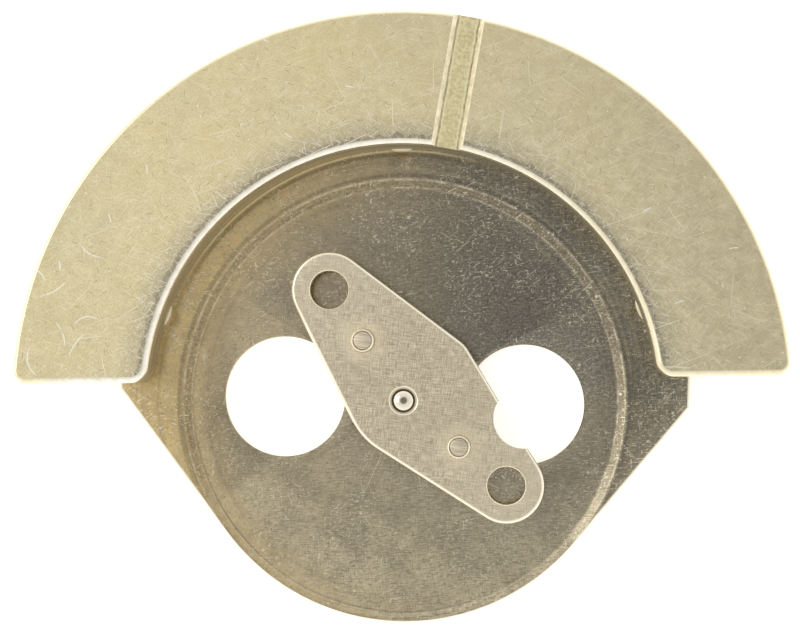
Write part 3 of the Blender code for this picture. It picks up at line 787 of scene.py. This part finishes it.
def pin_steel(name, node):
    """Brushed like its plate, with a painted highlight round its rim and a line of painted shade inside
    it.
    """
    material, tree, shader = metal(name)
    brush = noise(tree, place_on(tree, BRUSH_TURN, (0.6, 0.03, 0.6)), 2.0)
    lines = spread(tree, brush, 0.4, 0.6)
    colour = blend_colours(tree, lines, (0.60, 0.525, 0.40), (0.85, 0.755, 0.585))
    away, edge = from_point(tree, *middle_of(node)), radius_of(node) / MM
    # A line of painted shade just inside the pin's rim
    line = times(tree, band(tree, away, edge - 0.085, 0.035), 0.5)
    colour = blend_colours(tree, line, colour, (0.22, 0.19, 0.14))
    # Painted highlight round the pin's rim
    rim = spread(tree, away, edge - 0.06, edge - 0.04)
    colour = blend_colours(tree, rim, colour, (1.0, 0.94, 0.78))
    dress(tree, shader, colour, spread(tree, brush, 0.3, 0.7, 0.28, 0.38), brush, 0.0006)
    return material


def mouth_steel():
    """The opened mouth of the axle's hole: painted shade inside, with a painted highlight on its upper
    edge.
    """
    material, tree, shader = metal("mouth_steel")
    fine = grain(tree, 0.05)
    edge = (SINK_R + SINK_FLARE) / MM
    # Painted shade inside the mouth, rising to a painted highlight at its upper edge
    rise = spread(tree, from_point(tree), edge - 0.045, edge - 0.02)
    colour = blend_colours(tree, rise, (0.50, 0.44, 0.33), (1.0, 0.94, 0.79))
    dress(tree, shader, colour, spread(tree, fine, 0.3, 0.7, 0.16, 0.26), fine, 0.0006)
    return material


def axle_steel():
    """Mirror-polished steel with a painted dark reflection at its centre."""
    material, tree, shader = metal("axle_steel")
    fine = grain(tree, 0.05)
    colour = blend_colours(tree, spread(tree, fine, 0.3, 0.7), (1.0, 0.94, 0.80), (0.92, 0.86, 0.72))
    # Painted reflection: a dark spot at the centre of the polished end
    mark = spread(tree, from_point(tree), 0.135, 0.085, 0.0, 0.85)
    colour = blend_colours(tree, mark, colour, (0.24, 0.20, 0.13))
    dress(tree, shader, colour, spread(tree, fine, 0.3, 0.7, 0.05, 0.08), fine, 0.0002)
    return material


# Turning side


def rim_outline():
    """Half ring with rounded corners, anticlockwise from its right outer corner."""
    inner_y = RIM_END_Y + RIM_INNER_FILLET
    inner_x = math.sqrt((RIM_WALL_R + RIM_INNER_FILLET) ** 2 - inner_y**2)
    inner_turn = math.atan2(inner_y, inner_x)
    outer_y = RIM_END_Y + RIM_OUTER_FILLET
    outer_x = math.sqrt((RIM_R - RIM_OUTER_FILLET) ** 2 - outer_y**2)
    outer_turn = math.atan2(outer_y, outer_x)
    half, down = math.pi, 1.5 * math.pi
    outer_left, outer_right = (-outer_x, outer_y), (outer_x, outer_y)
    inner_left, inner_right = (-inner_x, inner_y), (inner_x, inner_y)
    points = arc((0.0, 0.0), RIM_R, outer_turn, half - outer_turn)
    points += arc(outer_left, RIM_OUTER_FILLET, half - outer_turn, down, FILLET_STEP)[1:]
    points += arc(inner_left, RIM_INNER_FILLET, down, math.tau - inner_turn, FILLET_STEP)
    points += arc((0.0, 0.0), RIM_WALL_R, half - inner_turn, inner_turn)[1:]
    points += arc(inner_right, RIM_INNER_FILLET, half + inner_turn, down, FILLET_STEP)[1:]
    points += arc(outer_right, RIM_OUTER_FILLET, down, math.tau + outer_turn, FILLET_STEP)[:-1]
    return points


def rim_chamfer(point):
    """Full width on the inner edge and the ends, thinner round the outer corners to the outer edge."""
    past = (math.hypot(*point) - RIM_R + RIM_OUTER_FILLET) / RIM_OUTER_FILLET
    return RIM_CHAMFER + (RIM_OUTER_CHAMFER - RIM_CHAMFER) * min(1.0, max(0.0, past))


def groove_tool(material):
    """A bar with sloping sides along the rim's radius, deep enough to cut the groove."""
    half_floor, half_mouth = GROOVE_FLOOR / 2, GROOVE_FLOOR / 2 + 2 * GROOVE_DEPTH
    section = [(-half_floor, -GROOVE_DEPTH), (half_floor, -GROOVE_DEPTH)]
    section += [(half_mouth, GROOVE_DEPTH), (-half_mouth, GROOVE_DEPTH)]
    length = RIM_R - RIM_WALL_R + 2 * OVERSHOOT
    tool = prism("groove", section, -length / 2, length / 2)
    coat(tool, material)
    tool.rotation_euler = (math.pi / 2, 0.0, GROOVE_TURN + math.pi / 2)
    tool.location = (*turn_point(((RIM_R + RIM_WALL_R) / 2, 0.0), GROOVE_TURN), RIM_TOP)
    return settle(tool)


def make_rim(alloy, edge, groove):
    obj = chamfered_piece("rim", rim_outline(), BACK, RIM_TOP, rim_chamfer)
    coat(obj, alloy, edge)
    obj.rotation_euler.z = RIM_SKEW
    settle(obj)
    seat, below = FLANGE_TOP + GAP, BACK - OVERSHOOT
    profile = [(0.0, seat), (SEAT_R, seat), (SEAT_R, below), (0.0, below)]
    combine(obj, turned("seat", profile, DISC_STEPS))
    collar = RIVET_COLLAR_R + GAP
    profile = [(0.0, RIVET_COLLAR_TOP + GAP), (collar, RIVET_COLLAR_TOP + GAP)]
    profile += [(collar, below), (0.0, below)]
    for node in RIVETS:
        tool = turned("pocket", profile)
        tool.location = (*middle_of(node), 0.0)
        combine(obj, tool)
    combine(obj, groove_tool(groove))
    finish(obj, "rotor", "weight_rim")


def plate_outline():
    """Round below, straight from the round to two ears, straight up and round under the rim."""
    ear_reach = math.hypot(EAR_X, EAR_Y)
    ear_turn = math.atan2(EAR_Y, EAR_X)
    touch = ear_turn - math.acos(PLATE_LOW_R / ear_reach)
    top_turn = math.acos(EAR_X / PLATE_TOP_R)
    points = [(EAR_X, EAR_Y)]
    points += arc((0.0, 0.0), PLATE_TOP_R, top_turn, math.pi - top_turn)
    points += [(-EAR_X, EAR_Y)]
    points += arc((0.0, 0.0), PLATE_LOW_R, math.pi - touch, math.tau + touch)
    return points


def eased(points, length):
    """Rounds the inner points of an open profile with a curve that starts length before each."""
    out = [points[0]]
    for before, here, after in zip(points, points[1:], points[2:]):
        ends = []
        for other in (before, after):
            gap = math.dist(here, other)
            share = min(length, gap / 2) / gap
            ends.append([h + (o - h) * share for h, o in zip(here, other)])
        for i in range(BEND_STEPS + 1):
            t = i / BEND_STEPS
            weights = ((1 - t) ** 2, 2 * t * (1 - t), t**2)
            trio = (ends[0], here, ends[1])
            out.append(tuple(sum(w * p[k] for w, p in zip(weights, trio)) for k in (0, 1)))
    return out + [points[-1]]


def make_plate(alloy, edge_alloy):
    dish_depth = FLANGE_TOP - DISH_TOP
    bend = SHEET_THICK * math.tan(math.atan2(dish_depth, DISH_SLOPE) / 2)
    brow, edge = DISH_R + DISH_SLOPE, PLATE_TOP_R + OVERSHOOT
    flange_low = FLANGE_TOP - SHEET_THICK
    top = [(0.0, DISH_TOP), (DISH_R, DISH_TOP), (brow, FLANGE_TOP), (edge, FLANGE_TOP)]
    under = [(edge, flange_low), (brow + bend, flange_low), (DISH_R + bend, BACK), (0.0, BACK)]
    obj = turned("dished_plate", eased(top, DISH_BEND) + eased(under, DISH_BEND), DISC_STEPS)
    coat(obj, alloy)
    levels = (BACK - OVERSHOOT, FLANGE_TOP + GAP)
    blank = chamfered_piece("blank", plate_outline(), *levels, lambda point: PLATE_CHAMFER)
    coat(blank, alloy, edge_alloy)
    blank.rotation_euler.z = PLATE_SKEW
    combine(obj, settle(blank), "INTERSECT")
    for side in (-1, 1):
        place = turn_point((side * ACCESS_X, 0.0), PLATE_SKEW)
        drill(obj, place, ACCESS_R, BACK, DISH_TOP, HOLE_FLARE, 2 * STEPS)
    for node in RIVETS:
        drill(obj, middle_of(node), RIVET_SHANK_R + GAP, flange_low, FLANGE_TOP)
    neck, lip = HUB_NECK_R + GAP, HUB_LIP_R + 2 * GAP
    above, below = DISH_TOP + OVERSHOOT, BACK - OVERSHOOT
    profile = [(0.0, above), (neck, above), (neck, HUB_LIP_TOP), (lip, BACK), (lip, below)]
    combine(obj, turned("hub_hole", [*profile, (0.0, below)]))
    finish(obj, "rotor", "carrier_plate")


def make_rivets(steel):
    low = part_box(RIVETS[0])[0].z
    flange_low = FLANGE_TOP - SHEET_THICK - GAP
    profile = [(0.0, RIVET_COLLAR_TOP), (RIVET_COLLAR_R, RIVET_COLLAR_TOP)]
    profile += [(RIVET_COLLAR_R, FLANGE_TOP + GAP), (RIVET_SHANK_R, FLANGE_TOP + GAP)]
    profile += [(RIVET_SHANK_R, flange_low), (RIVET_HEAD_R, flange_low)]
    for i in range(DOME_STEPS + 1):
        share = 1 - i / DOME_STEPS
        profile.append((RIVET_HEAD_R * share, low + RIVET_HEAD_DOME * share**2))
    for node in RIVETS:
        obj = turned(node.removeprefix("rim_"), profile)
        obj.location = (*middle_of(node), 0.0)
        coat(obj, steel)
        finish(obj, "rotor", node)


def make_hub(steel, bronze):
    top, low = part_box("hub")[1].z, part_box("hub")[0].z
    bush_r = radius_of("bearing_bush")
    flange_low = DISH_TOP + GAP
    profile = [
        (bush_r + GAP, top),
        (HUB_BARREL_R, top),
        (HUB_BARREL_R, HUB_FLANGE_TOP),
        (HUB_FLANGE_R, HUB_FLANGE_TOP),
        (HUB_FLANGE_R, flange_low),
        (HUB_NECK_R, flange_low),
        (HUB_NECK_R, HUB_LIP_TOP),
        (HUB_LIP_R, low),
        (HUB_POCKET_R, low),
        (HUB_POCKET_R, HUB_SHOULDER),
        (bush_r + GAP, HUB_SHOULDER),
    ]
    obj = turned("hub_tube", profile)
    coat(obj, steel)
    finish(obj, "rotor", "hub")
    make_ring("bush", JOURNAL_R + RUNNING_GAP, "rotor", "bearing_bush", bronze)


def make_ring(name, inner, body, node, material):
    """A plain ring that fills its CAD node's box."""
    low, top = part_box(node)[0].z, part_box(node)[1].z
    outer = radius_of(node)
    obj = turned(name, [(inner, top), (outer, top), (outer, low), (inner, low)])
    coat(obj, material)
    finish(obj, body, node, BREAK / 2)


def make_pinion(steel):
    low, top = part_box("drive_pinion")[0].z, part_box("drive_pinion")[1].z
    pitch = math.tau / PINION_TEETH
    height = PINION_TIP_R - PINION_ROOT_R
    teeth = [
        turn_point((PINION_ROOT_R + rise * height, 0.0), (tooth + along) * pitch)
        for tooth in range(PINION_TEETH)
        for along, rise in TOOTH_FORM
    ]
    obj = prism("pinion", teeth, low, top)
    coat(obj, steel)
    drill(obj, (0.0, 0.0), HUB_BARREL_R + GAP, low, top)
    finish(obj, "rotor", "drive_pinion")


# Bearing side


def hull_of_discs(discs):
    """The outline of a band stretched round discs, given anticlockwise as (centre, radius)."""
    normals = []
    for (here, here_r), (there, there_r) in zip(discs, discs[1:] + discs[:1]):
        dx, dy = there[0] - here[0], there[1] - here[1]
        lean = math.acos((here_r - there_r) / math.hypot(dx, dy))
        normals.append(math.atan2(dy, dx) - lean)
    points = []
    for i, (centre, radius) in enumerate(discs):
        start, end = normals[i - 1], normals[i]
        while end < start:
            end += math.tau
        points += arc(centre, radius, start, end, FILLET_STEP / 2)
    return points


def make_bearing_plate(steel, edge, mouth_lining, shadowed):
    discs = [
        ((0.0, HEEL_V + HEEL_R), HEEL_R),
        ((SCREW_U, SCREW_V), LOBE_R),
        ((0.0, PEAK_V - PEAK_R), PEAK_R),
        ((-SCREW_U, SCREW_V), LOBE_R),
    ]
    levels = (BEARING_LOW, BEARING_TOP)
    obj = chamfered_piece("lozenge_plate", hull_of_discs(discs), *levels, lambda point: BEARING_CHAMFER)
    coat(obj, steel, edge)
    obj.rotation_euler.z = BEARING_TURN
    settle(obj)
    drill(obj, turn_point((BITE_U, BITE_V), BEARING_TURN), BITE_R, BEARING_LOW, BEARING_TOP)
    for side in (-1, 1):
        place = turn_point((side * SCREW_U, SCREW_V), BEARING_TURN)
        # The screw bores are lined in the pale edge metal, a painted highlight round the holes
        drill(obj, place, SCREW_HOLE_R, BEARING_LOW, BEARING_TOP, HOLE_FLARE, lining=edge)
    for node in PINS:
        drill(obj, middle_of(node), radius_of(node) + GAP, BEARING_LOW, BEARING_TOP)
    sink_low, bore = BEARING_TOP - SINK_DEPTH, SPIGOT_R + GAP
    above, below = BEARING_TOP + OVERSHOOT, BEARING_LOW - OVERSHOOT
    profile = [(0.0, above), (SINK_R, above), (SINK_R, sink_low), (bore, sink_low)]
    tool = turned("spigot_hole", [*profile, (bore, below), (0.0, below)])
    coat(tool, shadowed)
    combine(obj, tool)
    mouth, mouth_low = SINK_R + SINK_FLARE, BEARING_TOP - SINK_DROP
    profile = [(0.0, above), (mouth, above), (mouth, BEARING_TOP)]
    profile += [(SINK_R, mouth_low), (0.0, mouth_low)]
    tool = turned("mouth", profile)
    coat(tool, mouth_lining)
    combine(obj, tool)
    finish(obj, "bearing_bridge", "bearing_plate")


def make_pins():
    for node in PINS:
        side = node.removeprefix("steady_pin_")
        steel = pin_steel(f"pin_steel_{side}", node)
        low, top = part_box(node)[0].z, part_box(node)[1].z
        outer = radius_of(node)
        end = [(outer - inward * PIN_EDGE, top - down * PIN_EDGE) for inward, down in PIN_FORM]
        obj = turned(f"pin_{side}", [(0.0, end[0][1]), *end, (outer, low), (0.0, low)])
        obj.location = (*middle_of(node), 0.0)
        coat(obj, steel)
        finish(obj, "bearing_bridge", node)


def make_axle(steel):
    collar_r, end = radius_of("axle_post"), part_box("axle_post")[0].z
    profile = [(0.0, BEARING_TOP)]
    for i in range(DOME_STEPS + 1):
        share = i / DOME_STEPS
        radius = SPIGOT_FLAT_R + (SPIGOT_R - SPIGOT_FLAT_R) * share
        profile.append((radius, BEARING_TOP - SPIGOT_DOME * share**2))
    profile += [(SPIGOT_R, BEARING_LOW - GAP), (collar_r, BEARING_LOW - GAP)]
    profile += [(collar_r, COLLAR_LOW), (JOURNAL_R, COLLAR_LOW), (JOURNAL_R, end)]
    profile += [(TAPPED_R, end), (TAPPED_R, TAPPED_TOP), (0.0, TAPPED_TOP)]
    obj = turned("axle", profile)
    coat(obj, steel)
    finish(obj, "bearing_bridge", "axle_post", BREAK / 2)


def make_screw(steel, bronze, dark_steel):
    make_ring("thrust_ring", JOURNAL_R + RUNNING_GAP, "bearing_bridge", "thrust_washer", bronze)
    make_ring("keeper_ring", SCREW_SHANK_R + RUNNING_GAP, "bearing_bridge", "retaining_washer", steel)
    low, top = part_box("retaining_screw")[0].z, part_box("retaining_screw")[1].z
    head_r = radius_of("retaining_screw")
    profile = [(0.0, top), (SCREW_SHANK_R, top), (SCREW_SHANK_R, SCREW_HEAD_TOP)]
    profile += [(head_r, SCREW_HEAD_TOP), (head_r, low + SCREW_EDGE), (head_r - SCREW_EDGE, low)]
    obj = turned("keeper_screw", [*profile, (0.0, low)])
    coat(obj, dark_steel)
    half = SLOT_WIDTH / 2
    reach = head_r + OVERSHOOT
    outline = [(-reach, -half), (reach, -half), (reach, half), (-reach, half)]
    combine(obj, prism("slot", outline, low - OVERSHOOT, low + SLOT_DEPTH))
    finish(obj, "bearing_bridge", "retaining_screw")


# Stage


def make_floor():
    build = bmesh.new()
    corners = [(-1, -1), (1, -1), (1, 1), (-1, 1)]
    level = BACK - 2 * GAP
    build.faces.new([build.verts.new((x * FLOOR_HALF, y * FLOOR_HALF, level)) for x, y in corners])
    floor = from_build("floor", build)
    material = bpy.data.materials.new("floor_white")
    material.use_nodes = True
    shader = material.node_tree.nodes["Principled BSDF"]
    shader.inputs["Base Color"].default_value = FLOOR_COLOUR
    shader.inputs["Roughness"].default_value = 0.9
    shader.inputs["Specular IOR Level"].default_value = 0.1
    shader.inputs["Emission Color"].default_value = (1.0, 0.98, 0.93, 1.0)
    shader.inputs["Emission Strength"].default_value = FLOOR_GLOW
    floor.data.materials.append(material)


def make_light(name, place, size, power):
    """A soft square light that faces the object."""
    lamp = bpy.data.lights.new(name, "AREA")
    lamp.size = size
    lamp.energy = power
    lamp.color = LIGHT_COLOUR
    obj = bpy.data.objects.new(name, lamp)
    bpy.context.scene.collection.objects.link(obj)
    obj.location = place
    obj.rotation_euler = (-obj.location).to_track_quat("-Z", "Y").to_euler()


def make_world():
    """Soft white surroundings, brightest near the horizon and dimmest overhead."""
    world = bpy.data.worlds.new("studio")
    bpy.context.scene.world = world
    world.use_nodes = True
    tree = world.node_tree
    direction = add(tree, "ShaderNodeTexCoord").outputs["Generated"]
    near = add(tree, "ShaderNodeVectorMath", {0: direction, 1: DIM_SIDE}, operation="DOT_PRODUCT")
    nearness = near.outputs["Value"]
    wide = spread(tree, nearness, *FADE, *FADE_STRENGTH)
    spot = spread(tree, nearness, *DIM_SPOT, 0.0, DIM_SPOT_DEPTH)
    strength = math_of(tree, "SUBTRACT", wide, spot)
    background = tree.nodes["Background"]
    background.inputs["Color"].default_value = (1.0, 0.985, 0.945, 1.0)
    tree.links.new(strength, background.inputs["Strength"])


def make_camera():
    camera = bpy.data.cameras.new("camera")
    obj = bpy.data.objects.new("camera", camera)
    bpy.context.scene.collection.objects.link(obj)
    obj.location = (*CAMERA_OVER, RIM_TOP + CAMERA_HEIGHT)
    camera.lens = camera.sensor_width * CAMERA_HEIGHT / VIEW_WIDTH
    camera.shift_x = (VIEW_MIDDLE[0] - CAMERA_OVER[0]) / VIEW_WIDTH
    camera.shift_y = (VIEW_MIDDLE[1] - CAMERA_OVER[1]) / VIEW_WIDTH
    camera.clip_start = CAMERA_HEIGHT / 10
    camera.clip_end = CLIP_END
    bpy.context.scene.camera = obj


alloy = weight_alloy()
groove = groove_metal()
plate = plate_alloy()
bridge = bridge_steel()
alloy_edge = rim_edge_alloy()
plate_edge = smooth_metal("plate_edge", (0.80, 0.74, 0.60), (0.60, 0.53, 0.38), 0.2)
# Pale edge metal: a painted highlight on the bearing plate's chamfers and screw bores
bridge_edge = smooth_metal("bridge_edge", (1.0, 0.94, 0.79), (0.92, 0.84, 0.64), 0.2)
rivet_steel = smooth_metal("rivet_steel", (0.86, 0.78, 0.59), (0.72, 0.64, 0.47), 0.34)
steel = smooth_metal("turned_steel", (0.72, 0.69, 0.62), (0.55, 0.50, 0.41), 0.22)
# Near-black steel on the wall of the axle's hole: painted shade
hole_shade = smooth_metal("hole_shade_steel", (0.14, 0.11, 0.075), (0.10, 0.08, 0.05), 0.4)
dark_steel = smooth_metal("dark_steel", (0.42, 0.40, 0.37), (0.30, 0.27, 0.22), 0.18)
bronze = smooth_metal("bronze", (0.72, 0.47, 0.24), (0.52, 0.33, 0.17), 0.24)

make_rim(alloy, alloy_edge, groove)
make_plate(plate, plate_edge)
make_rivets(rivet_steel)
make_hub(steel, bronze)
make_pinion(steel)
make_bearing_plate(bridge, bridge_edge, mouth_steel(), hole_shade)
make_pins()
make_axle(axle_steel())
make_screw(steel, bronze, dark_steel)

make_floor()
make_world()
make_light("left_softbox", SOFTBOX_PLACE, SOFTBOX_SIZE, SOFTBOX_POWER)
make_camera()
bpy.context.scene.view_settings.view_transform = "Standard"
